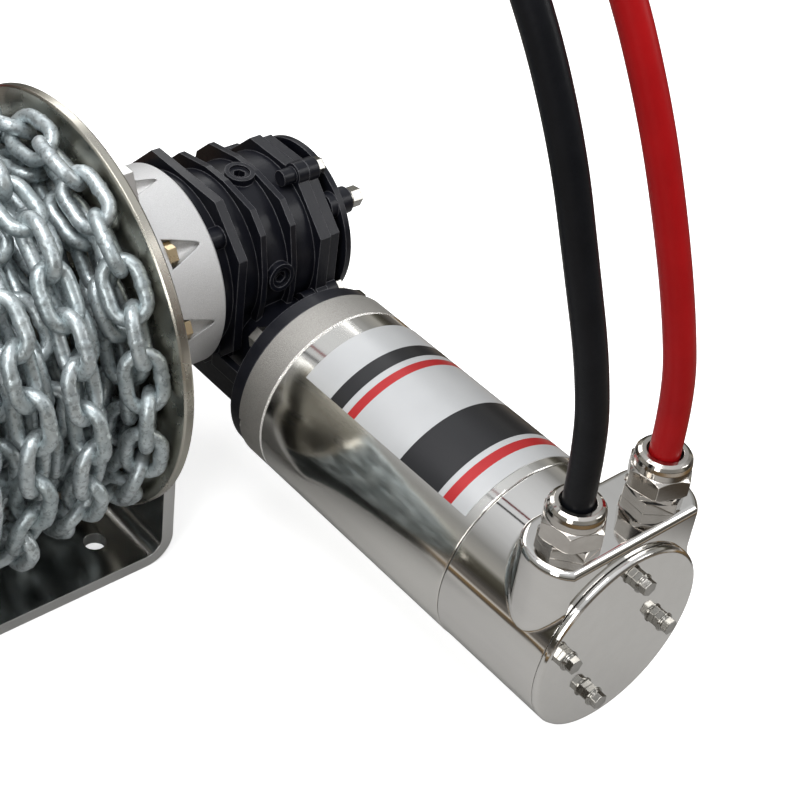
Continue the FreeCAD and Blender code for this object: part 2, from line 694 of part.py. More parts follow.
def make_motor_housing():
    ring = turned("ring_solid", [
        ("motor_flange_front", 30), ("ring_front", 30), ("ring_front", "sleeve_radius - 1"),
        ("ring_front - 1", "sleeve_radius"), ("motor_flange_front + 1.2", "sleeve_radius"),
        ("motor_flange_front", "motor_flange_radius")], MOTOR)
    notch = prism("ring_notch", 4, "motor_flange_front - 1", "motor_flange_front + 2.4", 2.6, MOTOR,
                  on_circle(size("sleeve_radius"), 98))
    holes = [rod("screw_hole", "motor_flange_front - 1", "motor_flange_front + 12", 3, MOTOR,
                 on_circle(MOTOR_SCREW_CIRCLE, a)) for a in DIAGONAL_ANGLES]
    node("motor_adapter_ring", cut("motor_adapter_ring", ring, [notch] + holes))
    head_at = size("motor_flange_back")
    screws = [hex_screw("motor_flange_screw", MOTOR, on_circle(MOTOR_SCREW_CIRCLE, a), head_at, -4.5, 10, 3,
                        size("motor_flange_front") + 12, 10) for a in DIAGONAL_ANGLES]
    node("motor_flange_screws", group("motor_flange_screws", screws))
    sleeve = turned("motor_sleeve", [
        ("ring_front", "sleeve_radius - 1.5"), ("sleeve_front", "sleeve_radius - 1.5"),
        ("sleeve_front", "sleeve_radius - 0.4"), ("sleeve_front - 0.4", "sleeve_radius"),
        ("ring_front + 0.4", "sleeve_radius"), ("ring_front", "sleeve_radius - 0.4")], MOTOR)
    node("motor_sleeve", sleeve)
    node("motor_yoke", tube("motor_yoke", "ring_front", "sleeve_front - 1", 37, "sleeve_radius - 1.5", MOTOR))
    magnets = [arc_piece("magnet", 100, 176, 30.6, 37, 60, 15 + 90 * i) for i in range(4)]
    node("field_magnets", group("field_magnets", magnets))
    label = arc_piece("motor_label", 95, 198.5, size("sleeve_radius"), size("sleeve_radius") + 0.25, 90, 134)
    node("motor_label", label)


def arc_piece(name, start, end, inner, outer, sweep, start_angle):
    """Curved slab round the motor axis; its start angle is counted from straight down."""
    pieces = []
    for part, radius in (("outer", outer), ("inner", inner)):
        obj = doc.addObject("Part::Cylinder", name + "_" + part)
        obj.Radius = radius
        obj.Height = value(end) - value(start)
        obj.Angle = sweep
        pieces.append(lie_along(obj, start, MOTOR, (0, 0), start_angle))
    return cut(name, pieces[0], [pieces[1]])


def make_rotor():
    bore = "motor_shaft_radius"
    node("motor_shaft", rod("motor_shaft", 62, 213, bore, MOTOR))
    node("shaft_coupling", tube("shaft_coupling", 48, 74, bore, 11, MOTOR))
    core = tube("armature_core", 104, 172, bore, 29.8, MOTOR)
    slots = [rod("armature_slot", 103, 173, 2.2, MOTOR, on_circle(28.5, 30 * i)) for i in range(12)]
    node("armature", cut("armature", core, slots))
    node("commutator", tube("commutator", 180, 197, bore, 15, MOTOR))


def make_brush_gear():
    inner = "sleeve_radius - 1.5"
    frame = turned("brush_end_frame", [("sleeve_front - 1", 14), ("sleeve_front + 7", 14),
                                       ("sleeve_front + 7", 40), ("sleeve_front + 1", 40),
                                       ("sleeve_front", 41), ("sleeve_front", inner),
                                       ("sleeve_front - 1", inner)], MOTOR)
    node("brush_end_frame", frame)
    bearing = tube("motor_end_bearing", "sleeve_front - 1", "sleeve_front + 7", "motor_shaft_radius + running_gap",
                   14, MOTOR)
    node("motor_end_bearing", bearing)
    plate = tube("brush_plate", 198, 201, 17, 37, MOTOR)
    node("brush_plate", plate)
    brushes = [brush(90 * i) for i in range(4)]
    node("brushes", group("brushes", brushes))


def brush(degrees):
    """Carbon brush between the commutator and its holder, running with a small gap."""
    obj = doc.addObject("Part::Box", "brush")
    obj.Length = 8
    obj.Width = 12
    obj.Height = 15
    origin = Vector(size("motor_axis_x"), 0, size("motor_axis_height"))
    across = Rotation(Vector(0, 1, 0), degrees)
    obj.Placement = Placement(origin, across).multiply(Placement(Vector(-4, -198, 15.1), Rotation()))
    return obj


# --- end cap and glands -----------------------------------------------------

def make_end_cap():
    start = "sleeve_front + 0.4"
    shell = rod("cap_shell", start, "cap_front", "cap_radius", MOTOR)
    top = "motor_axis_height + boss_height"
    x = "motor_axis_x + gland_shift"
    y = "-gland_distance"
    low = "motor_axis_height"
    pair = [rod("boss_round", low, top, "boss_radius", gland_frame(sign, 0)) for sign in ("-", "+")]
    middle = block("boss_middle", (x + " - gland_offset", y + " - boss_radius", low),
                   (x + " + gland_offset", y + " + boss_radius", top))
    beyond = block("beyond_cap_front", (x + " - 60", "-cap_front - 10", low), (x + " + 60", "-cap_front", top + " + 1"))
    outside = cut("cap_outside", fuse("cap_solid", [shell] + pair + [middle]), [beyond])
    doc.recompute()
    eased = ease_boss_edges(outside)
    bore = rod("cap_bore", start, "cap_front", "cap_radius - cap_wall", MOTOR)
    holes = [rod("cable_hole", 20, "boss_height + 1", 8, gland_frame(s, "motor_axis_height")) for s in ("-", "+")]
    node("end_cap", cut("end_cap", eased, [bore] + holes))
    make_end_plate(start)


def ease_boss_edges(solid):
    """Round the upper rim of the gland boss, then blend its foot into the cap."""
    top = size("motor_axis_height") + size("boss_height")
    rim = [i for i, edge in enumerate(solid.Shape.Edges, start=1) if edge.BoundBox.ZMin > top - 0.01]
    rounded = filleted("boss_rim", solid, rim, size("boss_edge"))
    foot = []
    for i, edge in enumerate(rounded.Shape.Edges, start=1):
        box = edge.BoundBox
        curved = edge.Curve.TypeId != "Part::GeomLine" and edge.Length > 8
        if curved and box.ZMax < top - size("boss_edge") - 1 and box.ZMin > size("motor_axis_height") + 1:
            foot.append(i)
    return filleted("boss_foot_blend", rounded, foot, size("boss_foot"))


def filleted(name, base, edges, radius):
    obj = doc.addObject("Part::Fillet", name)
    obj.Base = base
    obj.Edges = [(i, radius, radius) for i in edges]
    doc.recompute()
    return obj


def make_end_plate(start):
    face = "cap_front + 0.3"
    gaskets = [tube("gasket", a, b, "cap_radius - cap_wall", "cap_radius - 0.5", MOTOR)
               for a, b in (("sleeve_front", start), ("cap_front", face))]
    node("end_cap_gaskets", group("end_cap_gaskets", gaskets))
    plate = turned("plate_solid", [(face, 0), (face + " + end_plate_thickness", 0),
                                   (face + " + end_plate_thickness", "cap_radius - 1.6"),
                                   (face + " + end_plate_thickness - 0.5", "cap_radius - 0.5"),
                                   (face + " + end_plate_thickness - 1.6", "cap_radius"),
                                   (face, "cap_radius")], MOTOR)
    holes = [rod("fixing_hole", "cap_front", face + " + 5", 2, MOTOR, place) for place in fixing_places()]
    node("end_plate", cut("end_plate", plate, holes))


def gland_frame(sign, z):
    return upright("motor_axis_x + gland_shift %s gland_offset" % sign, "-gland_distance", z)


def fixing_places():
    """The four cover fixings sit on a circle a little off the motor axis."""
    places = []
    for i in range(4):
        angle = math.radians(78 + 90 * i)
        across_x = FIXING_CENTRE[0] + FIXING_CIRCLE * math.cos(angle)
        across_z = FIXING_CENTRE[1] + FIXING_CIRCLE * math.sin(angle)
        places.append((across_x, across_z))
    return places


def make_end_fixings():
    """Each fixing is a nut, a washer and a flanged hexagon screw through them."""
    face = value("cap_front + 0.3 + end_plate_thickness")
    pieces = []
    for i, place in enumerate(fixing_places()):
        nut = prism("nut", 6, face, face + 2.8, 7 / math.sqrt(3), MOTOR, place, 17 * i)
        pieces.append(cut("end_nut", nut, [rod("nut_bore", face, face + 2.8, 2, MOTOR, place)]))
        washer = rod("washer", face + 2.8, face + 3.5, 4.4, MOTOR, place)
        pieces.append(cut("end_washer", washer, [rod("bore", face + 2.8, face + 3.5, 2, MOTOR, place)]))
        skirt = rod("screw_skirt", face + 3.5, face + 4.2, 3.8, MOTOR, place)
        screw = hex_screw("end_screw", MOTOR, place, face + 4.2, 3, 6.2, 2, face - 14, 31 * i)
        pieces.append(fuse("flanged_screw", [skirt, screw]))
    node("end_plate_fixings", group("end_plate_fixings", pieces))


def make_gland(colour, sign, lift, body_height):
    """Cable gland: hexagon body, dome nut and rubber seal; lift raises it on an adapter."""
    frame = gland_frame(sign, "motor_axis_height + boss_height")
    foot = lift + body_height
    nut_foot = foot + 0.4
    nut_top = nut_foot + 15.6
    body = prism(colour + "_hex", 6, lift, foot, 12.7, frame, (0, 0), 12)
    thread = rod(colour + "_thread", lift - 4 if lift else -8, foot + 3.5, 9.4 if lift else 8, frame)
    bore = rod(colour + "_bore", lift - 9, foot + 5, 6.8, frame)
    node(colour + "_gland_body", cut(colour + "_gland_body", fuse(colour + "_body", [body, thread]), [bore]))
    dome = turned(colour + "_nut_dome", [(nut_foot, 9.5), (nut_top - 5, 9.5), (nut_top - 5, 7.4),
                                         (nut_top, 7.4), (nut_top, 9.2), (nut_top - 0.7, 10.6),
                                         (nut_top - 2, 11.5), (nut_top - 3.8, 11.8), (nut_foot, 11.8)], frame)
    corner = size("gland_across_flats") / math.sqrt(3)
    wrench = prism(colour + "_wrench", 6, nut_foot, nut_foot + 8.8, corner, frame, (0, 0), 40)
    eased = turned(colour + "_wrench_ends", [(nut_foot, 9.5), (nut_foot + 8.8, 9.5), (nut_foot + 8.8, 12.1),
                                             (nut_foot + 7.2, 14), (nut_foot + 1, 14), (nut_foot, 12.9)], frame)
    faceted = doc.addObject("Part::MultiCommon", colour + "_nut_flats")
    faceted.Shapes = [wrench, eased]
    node(colour + "_gland_nut", fuse(colour + "_gland_nut", [dome, faceted]))
    seal = tube(colour + "_gland_seal", foot + 3.6, nut_top - 5.2, "cable_radius", 9.4, frame)
    node(colour + "_gland_seal", seal)


def make_glands():
    make_gland("black", "-", 0, 5.2)
    make_gland("red", "+", RED_LIFT, 2.2)
    frame = gland_frame("+", "motor_axis_height + boss_height")
    adapter = prism("adapter_hex", 6, 0, ADAPTER_HEIGHT, 12.7, frame, (0, 0), 25)
    stem = rod("adapter_stem", -8, 0, 8, frame)
    hollow = rod("adapter_bore", -9, RED_LIFT, 6.8, frame)
    socket = rod("adapter_socket", RED_LIFT - 4.5, RED_LIFT, 9.4, frame)
    node("red_gland_adapter", cut("red_gland_adapter", fuse("adapter", [adapter, stem]), [hollow, socket]))
    node("red_gland_gasket", tube("red_gland_gasket", ADAPTER_HEIGHT, RED_LIFT, 9.4, 11.4, frame))


# --- battery cables ---------------------------------------------------------

# Points of each free cable, from inside its gland nut to its terminal.
BLACK_ROUTE = [
    (147.4, -244.5, 138), (147.4, -244.5, 174), (143.4, -239.5, 210), (136.6, -230.3, 250),
    (130.2, -219.8, 292), (120.9, -202.5, 338), (109, -175, 385), (96, -134, 421), (82, -83, 438),
    (68, -30, 432), (56, 20, 404), (46, 60, 363), (39, 88, 314), (34, 106, 262),
    (31, 118, 210), (29, 128, 160), (27.5, 137, 112), (25, 146, 65), (12.6, 157, 37.5),
    (-7.5, 174.8, 18), (-33, 196, 6.5), (-65, 208.5, 6.5), (-95, 215, 6.5)]
RED_ROUTE = [
    (194.6, -244.5, 140.5), (194.6, -244.5, 176), (188.2, -238.4, 215), (181.2, -229, 254),
    (174.1, -217.1, 293), (165.2, -199.2, 336), (153.5, -171, 381), (140.5, -131, 415), (127, -82.5, 431),
    (114, -31, 426), (101.5, 18, 400), (91, 59, 360), (83, 90, 312), (77, 112, 261),
    (73, 127, 210), (70, 138, 160), (67, 147, 112), (63, 156, 65), (50.5, 167, 37.5),
    (30.5, 184.8, 18), (5, 206, 6.5), (-27, 219.5, 6.5), (-57, 226, 6.5)]


def rounded_path(points):
    """Straight runs joined by tangent arcs as large as their two runs allow."""
    places = [Vector(*p) for p in points]
    edges = []
    radii = []
    start = places[0]
    for before, corner, after in zip(places, places[1:], places[2:]):
        inward = (before - corner).normalize()
        outward = (after - corner).normalize()
        reach = 0.45 * min((before - corner).Length, (after - corner).Length)
        turn = math.pi - inward.getAngle(outward)
        radius = reach / math.tan(turn / 2)
        a = corner + inward * reach
        b = corner + outward * reach
        bisector = (inward + outward).normalize()
        centre = corner + bisector * (radius / math.cos(turn / 2))
        middle = centre - bisector * radius
        edges.append(Part.LineSegment(start, a).toShape())
        edges.append(Part.Arc(a, middle, b).toShape())
        radii.append(radius)
        start = b
    edges.append(Part.LineSegment(start, places[-1]).toShape())
    return Part.Wire(edges), radii


def make_cable(name, points):
    path, radii = rounded_path(points)
    start = Vector(*points[0])
    direction = Vector(*points[1]) - start
    radius = size("cable_radius")
    ring = Part.Wire([Part.Circle(start, direction, radius).toShape()])
    shape = path.makePipeShell([ring], True, False, 2)
    expected = math.pi * radius ** 2 * path.Length
    print("%s: length %.1f, least radius %.0f, volume ratio %.4f"
          % (name, path.Length, min(radii), shape.Volume / expected))
    cable = doc.addObject("Part::Feature", name)
    cable.Shape = shape
    node(name, cable)
    make_terminal(name.replace("cable", "terminal"), Vector(*points[-2]), Vector(*points[-1]))


def make_terminal(name, before, end):
    """Crimped ring terminal lying on the floor at the end of a cable."""
    along = (end - before).normalize()
    turn = Rotation(Vector(1, 0, 0), along)
    place = Placement(end, turn)
    radius = size("cable_radius")
    barrel = Part.makeCylinder(radius, 26, Vector(0, 0, 0), Vector(1, 0, 0))
    palm = Part.makeBox(20, 14, 3, Vector(20, -7, -1.5))
    eye = Part.makeCylinder(9, 3, Vector(40, 0, -1.5))
    hole = Part.makeCylinder(4.2, 5, Vector(40, 0, -2.5))
    shape = barrel.fuse([palm, eye]).removeSplitter().cut(hole)
    terminal = doc.addObject("Part::Feature", name)
    terminal.Shape = shape
    terminal.Placement = place
    node(name, terminal)


# --- check and write --------------------------------------------------------

def check():
    doc.recompute()
    failed = [o.Name for o in doc.Objects if "Invalid" in o.State or "Error" in o.State]
    for name, obj in nodes.items():
        if obj.Shape.isNull() or not obj.Shape.isValid() or not obj.Shape.Solids:
            failed.append(name)
    if failed:
        raise RuntimeError("failed: " + ", ".join(failed))


def write():
    os.makedirs("parts", exist_ok=True)
    for name, obj in nodes.items():
        obj.Shape.exportStep("parts/%s.step" % name)
    print("%d sub-parts, %d solids" % (len(nodes), sum(len(o.Shape.Solids) for o in nodes.values())))


fill_sheet()
make_base_frame()
make_drum()
make_left_bearing()
make_drive_housing()
make_gearbox_case()
make_gearbox_cover()
make_end_disc()
make_plugs()
make_gearbox_inside()
make_worm_wheel()
make_worm()
make_worm_bearings()
make_motor_housing()
make_rotor()
make_brush_gear()
make_end_cap()
make_end_fixings()
make_glands()
make_cable("black_cable", BLACK_ROUTE)
make_cable("red_cable", RED_ROUTE)
check()
write()
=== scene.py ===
import bpy
import math

from mathutils import Matrix, Vector, noise


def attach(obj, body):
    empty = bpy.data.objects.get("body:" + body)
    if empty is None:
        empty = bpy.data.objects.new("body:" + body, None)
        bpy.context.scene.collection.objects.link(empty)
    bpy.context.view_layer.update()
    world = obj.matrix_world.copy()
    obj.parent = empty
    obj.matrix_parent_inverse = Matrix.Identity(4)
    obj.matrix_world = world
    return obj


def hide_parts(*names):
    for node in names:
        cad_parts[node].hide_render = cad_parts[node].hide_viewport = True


# Electric drum anchor windlass. Metres, in the CAD frame: origin at the centre of
# the base bolt pattern, +Z up, +X along the drum axis towards the gearbox, the
# motor towards -Y.

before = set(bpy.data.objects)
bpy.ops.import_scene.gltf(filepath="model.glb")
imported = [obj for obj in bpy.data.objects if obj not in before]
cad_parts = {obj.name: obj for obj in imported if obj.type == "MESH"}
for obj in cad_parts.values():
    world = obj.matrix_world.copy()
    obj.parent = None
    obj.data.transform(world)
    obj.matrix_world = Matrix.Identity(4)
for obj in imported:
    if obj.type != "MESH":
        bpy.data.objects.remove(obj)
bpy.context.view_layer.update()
scene = bpy.context.scene

MM = 0.001
DRUM_AXIS_Z = 111.5 * MM


# --- camera -----------------------------------------------------------------

CAMERA_PLACE = (-0.2622, -0.54536, 0.58764)
CAMERA_AZIMUTH, CAMERA_ELEVATION, CAMERA_ROLL = -45.63, 38.9, 8.59
CAMERA_LENS, CAMERA_SENSOR = 80.68, 36


def set_up_camera():
    azimuth, elevation, roll = (
        math.radians(a) for a in (CAMERA_AZIMUTH, CAMERA_ELEVATION, CAMERA_ROLL))
    right = Vector((math.cos(azimuth), math.sin(azimuth), 0))
    ahead = Vector((-math.sin(azimuth) * math.cos(elevation),
                    math.cos(azimuth) * math.cos(elevation), -math.sin(elevation)))
    up = right.cross(ahead)
    tilted_right = right * math.cos(roll) + up * math.sin(roll)
    tilted_up = up * math.cos(roll) - right * math.sin(roll)
    data = bpy.data.cameras.new("camera")
    data.lens = CAMERA_LENS
    data.sensor_width = CAMERA_SENSOR
    data.clip_start, data.clip_end = 0.01, 20
    camera = bpy.data.objects.new("camera", data)
    scene.collection.objects.link(camera)
    turn = Matrix((tilted_right, tilted_up, -ahead)).transposed().to_4x4()
    camera.matrix_world = Matrix.Translation(CAMERA_PLACE) @ turn
    scene.camera = camera


# --- shader building blocks ---------------------------------------------------

def add_node(tree, kind, **settings):
    """New node; settings are attributes, or values for inputs when given as in_NAME."""
    node = tree.nodes.new(kind)
    for key, value in settings.items():
        if key.startswith("in_"):
            node.inputs[key[3:].replace("_", " ")].default_value = value
        else:
            setattr(node, key, value)
    return node


def join(tree, source, target):
    tree.links.new(source, target)


def new_group(name, inputs, outputs):
    """Shader node group with named sockets: (name, kind, default) in, (name, kind) out."""
    tree = bpy.data.node_groups.new(name, "ShaderNodeTree")
    for label, kind, default in inputs:
        socket = tree.interface.new_socket(label, in_out="INPUT",
                                           socket_type="NodeSocket" + kind)
        socket.default_value = default
    for label, kind in outputs:
        tree.interface.new_socket(label, in_out="OUTPUT", socket_type="NodeSocket" + kind)
    return tree, tree.nodes.new("NodeGroupInput"), tree.nodes.new("NodeGroupOutput")


def map_range(tree, source, low, high, to_low, to_high):
    node = add_node(tree, "ShaderNodeMapRange", in_From_Min=low, in_From_Max=high,
                    in_To_Min=to_low, in_To_Max=to_high)
    join(tree, source, node.inputs["Value"])
    return node.outputs["Result"]


def maths(tree, operation, a, b=None):
    node = add_node(tree, "ShaderNodeMath", operation=operation)
    for socket, value in zip(node.inputs, (a, b)):
        if value is None:
            continue
        if isinstance(value, (int, float)):
            socket.default_value = value
        else:
            join(tree, value, socket)
    return node.outputs["Value"]


def build_mottle_group():
    """Soft patches: 0 to 1 over the surface, with adjustable size and hardness."""
    tree, source, result = new_group(
        "mottle", [("Scale", "Float", 100.0), ("Hardness", "Float", 2.0), ("Detail", "Float", 4.0)],
        [("Mask", "Float")])
    place = tree.nodes.new("ShaderNodeTexCoord")
    pattern = add_node(tree, "ShaderNodeTexNoise", in_Roughness=0.6)
    join(tree, place.outputs["Object"], pattern.inputs["Vector"])
    join(tree, source.outputs["Scale"], pattern.inputs["Scale"])
    join(tree, source.outputs["Detail"], pattern.inputs["Detail"])
    centred = maths(tree, "SUBTRACT", pattern.outputs["Fac"], 0.5)
    harder = maths(tree, "MULTIPLY", centred, source.outputs["Hardness"])
    lifted = add_node(tree, "ShaderNodeMath", operation="ADD", use_clamp=True)
    join(tree, harder, lifted.inputs[0])
    lifted.inputs[1].default_value = 0.5
    join(tree, lifted.outputs["Value"], result.inputs["Mask"])
    return tree


def build_streaks_group():
    """Long fine lines: noise squeezed across one direction and drawn out along another."""
    tree, source, result = new_group(
        "streaks", [("Stretch", "Vector", (1.0, 1.0, 1.0)), ("Scale", "Float", 100.0)],
        [("Mask", "Float")])
    place = tree.nodes.new("ShaderNodeTexCoord")
    stretched = add_node(tree, "ShaderNodeVectorMath", operation="MULTIPLY")
    join(tree, place.outputs["Object"], stretched.inputs[0])
    join(tree, source.outputs["Stretch"], stretched.inputs[1])
    pattern = add_node(tree, "ShaderNodeTexNoise", in_Detail=6.0, in_Roughness=0.65)
    join(tree, stretched.outputs["Vector"], pattern.inputs["Vector"])
    join(tree, source.outputs["Scale"], pattern.inputs["Scale"])
    join(tree, pattern.outputs["Fac"], result.inputs["Mask"])
    return tree


def build_edge_group():
    """Sharp edges: a rounded normal for them, and a broken mask where they wear."""
    tree, source, result = new_group(
        "worn_edges", [("Width", "Float", 0.0006), ("Bite", "Float", 4.0), ("Grain", "Float", 300.0)],
        [("Mask", "Float"), ("Normal", "Vector")])
    rounded = add_node(tree, "ShaderNodeBevel", samples=6)
    join(tree, source.outputs["Width"], rounded.inputs["Radius"])
    surface = tree.nodes.new("ShaderNodeNewGeometry")
    agreement = add_node(tree, "ShaderNodeVectorMath", operation="DOT_PRODUCT")
    join(tree, rounded.outputs["Normal"], agreement.inputs[0])
    join(tree, surface.outputs["Normal"], agreement.inputs[1])
    turn = maths(tree, "SUBTRACT", 1.0, agreement.outputs["Value"])
    place = tree.nodes.new("ShaderNodeTexCoord")
    patches = add_node(tree, "ShaderNodeTexNoise", in_Detail=3.0)
    join(tree, place.outputs["Object"], patches.inputs["Vector"])
    join(tree, source.outputs["Grain"], patches.inputs["Scale"])
    bitten = maths(tree, "MULTIPLY", turn, source.outputs["Bite"])
    broken = add_node(tree, "ShaderNodeMath", operation="MULTIPLY", use_clamp=True)
    join(tree, bitten, broken.inputs[0])
    join(tree, patches.outputs["Fac"], broken.inputs[1])
    join(tree, broken.outputs["Value"], result.inputs["Mask"])
    join(tree, rounded.outputs["Normal"], result.inputs["Normal"])
    return tree


def build_rings_group():
    """Turning marks: fine rings about an axis through Centre. Across keeps the directions square to it."""
    tree, source, result = new_group(
        "turning_marks", [("Centre", "Vector", (0.0, 0.0, 0.0)), ("Across", "Vector", (0.0, 1.0, 1.0)),
                          ("Scale", "Float", 900.0)], [("Mask", "Float")])
    place = tree.nodes.new("ShaderNodeTexCoord")
    offset = add_node(tree, "ShaderNodeVectorMath", operation="SUBTRACT")
    join(tree, place.outputs["Object"], offset.inputs[0])
    join(tree, source.outputs["Centre"], offset.inputs[1])
    flattened = add_node(tree, "ShaderNodeVectorMath", operation="MULTIPLY")
    join(tree, offset.outputs["Vector"], flattened.inputs[0])
    join(tree, source.outputs["Across"], flattened.inputs[1])
    radius = add_node(tree, "ShaderNodeVectorMath", operation="LENGTH")
    join(tree, flattened.outputs["Vector"], radius.inputs[0])
    pattern = add_node(tree, "ShaderNodeTexNoise", noise_dimensions="1D", in_Detail=4.0)
    join(tree, radius.outputs["Value"], pattern.inputs["W"])
    join(tree, source.outputs["Scale"], pattern.inputs["Scale"])
    join(tree, pattern.outputs["Fac"], result.inputs["Mask"])
    return tree


GROUPS = {}


def use_group(tree, name, **values):
    node = tree.nodes.new("ShaderNodeGroup")
    node.node_tree = GROUPS[name]
    for key, value in values.items():
        node.inputs[key].default_value = value
    return node


class Finish:
    """A material being built: its tree, its Principled shader, and shorthand for common steps."""

    def __init__(self, name, metallic=0.0, coat=0.0, coat_roughness=0.1):
        self.material = bpy.data.materials.new(name)
        self.material.use_nodes = True
        self.tree = self.material.node_tree
        self.tree.nodes.clear()
        self.shader = self.tree.nodes.new("ShaderNodeBsdfPrincipled")
        self.shader.inputs["Metallic"].default_value = metallic
        self.shader.inputs["Coat Weight"].default_value = coat
        self.shader.inputs["Coat Roughness"].default_value = coat_roughness
        output = self.tree.nodes.new("ShaderNodeOutputMaterial")
        join(self.tree, self.shader.outputs["BSDF"], output.inputs["Surface"])

    def mask(self, group, **values):
        return use_group(self.tree, group, **values).outputs["Mask"]

    def mix(self, factor, a, b):
        """Colour between a and b; each may be a colour or a socket."""
        node = add_node(self.tree, "ShaderNodeMix", data_type="RGBA")
        join(self.tree, factor, node.inputs["Factor"])
        for socket, value in ((node.inputs[6], a), (node.inputs[7], b)):
            if isinstance(value, tuple):
                socket.default_value = (*value, 1.0)
            else:
                join(self.tree, value, socket)
        return node.outputs[2]

    def colour(self, source):
        join(self.tree, source, self.shader.inputs["Base Color"])

    def roughness(self, mask, low, high):
        join(self.tree, map_range(self.tree, mask, 0, 1, low, high), self.shader.inputs["Roughness"])

    def roughness_with(self, mask, low, high, part, part_value):
        """Roughness from low to high over mask, but part_value where part is 1."""
        spread = map_range(self.tree, mask, 0, 1, low, high)
        mixed = add_node(self.tree, "ShaderNodeMix", data_type="FLOAT")
        join(self.tree, part, mixed.inputs["Factor"])
        join(self.tree, spread, mixed.inputs[2])
        mixed.inputs[3].default_value = part_value
        join(self.tree, mixed.outputs[0], self.shader.inputs["Roughness"])

    def bump(self, heights, edge_width=0.0004, edge_group=None):
        """Bump from (mask, depth in metres) pairs over edges rounded by edge_width."""
        edges = edge_group or use_group(self.tree, "worn_edges", Width=edge_width)
        normal = edges.outputs["Normal"]
        for mask, depth in heights:
            node = add_node(self.tree, "ShaderNodeBump", in_Distance=depth, in_Strength=1.0)
            join(self.tree, mask, node.inputs["Height"])
            join(self.tree, normal, node.inputs["Normal"])
            normal = node.outputs["Normal"]
        join(self.tree, normal, self.shader.inputs["Normal"])

    def facing(self, axis):
        """Mask that is 1 where the surface faces along an axis of the frame, either way."""
        surface = self.tree.nodes.new("ShaderNodeNewGeometry")
        part = add_node(self.tree, "ShaderNodeSeparateXYZ")
        join(self.tree, surface.outputs["Normal"], part.inputs[0])
        return maths(self.tree, "ABSOLUTE", part.outputs[axis])


# --- materials ----------------------------------------------------------------

def chain_zinc():
    """Hot-dip zinc: soft blue-grey bloom over brighter metal, a few faint pits."""
    finish = Finish("chain_zinc", metallic=0.72)
    patches = finish.mask("mottle", Scale=170.0, Hardness=2.6, Detail=5.0)
    pits = finish.mask("mottle", Scale=520.0, Hardness=7.0, Detail=5.0)
    tone = add_node(finish.tree, "ShaderNodeAttribute", attribute_name="link_tone")
    light = finish.mix(tone.outputs["Fac"], (0.53, 0.59, 0.60), (0.67, 0.72, 0.73))
    dark = finish.mix(tone.outputs["Fac"], (0.31, 0.36, 0.375), (0.43, 0.48, 0.50))
    base = finish.mix(patches, dark, light)
    pitting = map_range(finish.tree, pits, 0.0, 0.18, 0.42, 0.0)
    finish.colour(finish.mix(pitting, base, (0.12, 0.135, 0.14)))
    finish.roughness(patches, 0.48, 0.34)
    lumps = finish.mask("mottle", Scale=300.0, Hardness=1.4, Detail=3.0)
    finish.bump([(lumps, 0.00020), (pits, 0.00002)], 0.0002)
    return finish.material


def polished_stainless(name, tint, low, high):
    """Polished steel with faint haze drawn out along the motor's length."""
    finish = Finish(name, metallic=1.0)
    haze = finish.mask("streaks", Stretch=(9.0, 0.6, 9.0), Scale=12.0)
    finish.colour(finish.mix(haze, tint, tuple(c * 0.86 for c in tint)))
    finish.roughness(haze, low, high)
    waves = finish.mask("mottle", Scale=12.0, Hardness=1.0, Detail=0.0)
    finish.bump([(waves, 0.0001)], 0.0007)
    return finish.material


def flange_stainless():
    finish = Finish("flange_stainless", metallic=1.0)
    rings = finish.mask("turning_marks", Centre=(0.0, 0.0, DRUM_AXIS_Z), Scale=1400.0)
    haze = finish.mask("mottle", Scale=45.0, Hardness=2.0, Detail=4.0)
    finish.colour(finish.mix(haze, (0.54, 0.52, 0.465), (0.44, 0.42, 0.36)))
    finish.roughness(haze, 0.22, 0.34)
    finish.bump([(rings, 0.00003)], 0.0006)
    return finish.material


def plate_stainless():
    """Bent plate: polished faces that mirror darkly, satin light cut edges."""
    finish = Finish("plate_stainless", metallic=1.0)
    edge = map_range(finish.tree, finish.facing("Y"), 0.3, 0.6, 0.0, 1.0)
    grain = finish.mask("streaks", Stretch=(1.0, 14.0, 14.0), Scale=60.0)
    haze = finish.mask("mottle", Scale=30.0, Hardness=2.0, Detail=4.0)
    face = finish.mix(haze, (0.60, 0.60, 0.59), (0.52, 0.52, 0.51))
    finish.colour(finish.mix(edge, face, (0.70, 0.70, 0.69)))
    finish.roughness_with(haze, 0.14, 0.24, edge, 0.42)
    finish.bump([(grain, 0.00002)], 0.0005)
    return finish.material


def silver_paint():
    finish = Finish("silver_paint", metallic=0.4, coat=0.15, coat_roughness=0.3)
    grain = finish.mask("mottle", Scale=2600.0, Hardness=3.0, Detail=2.0)
    haze = finish.mask("mottle", Scale=40.0, Hardness=1.5, Detail=3.0)
    base = finish.mix(grain, (0.57, 0.57, 0.57), (0.70, 0.70, 0.70))
    finish.colour(finish.mix(map_range(finish.tree, haze, 0, 1, 0, 0.3), base, (0.53, 0.53, 0.535)))
    finish.roughness(grain, 0.40, 0.52)
    finish.bump([(grain, 0.00006)], 0.0009)
    return finish.material


def black_enamel():
    finish = Finish("black_enamel", coat=0.10, coat_roughness=0.14)
    finish.shader.inputs["Specular IOR Level"].default_value = 0.22
    edges = use_group(finish.tree, "worn_edges", Width=0.0007, Bite=3.0, Grain=260.0)
    haze = finish.mask("mottle", Scale=55.0, Hardness=2.0, Detail=5.0)
    base = finish.mix(haze, (0.004, 0.0045, 0.008), (0.009, 0.0095, 0.014))
    finish.colour(finish.mix(edges.outputs["Mask"], base, (0.30, 0.30, 0.32)))
    finish.roughness(haze, 0.30, 0.44)
    orange_peel = finish.mask("mottle", Scale=420.0, Hardness=1.0, Detail=2.0)
    finish.bump([(orange_peel, 0.00008)], edge_group=edges)
    return finish.material


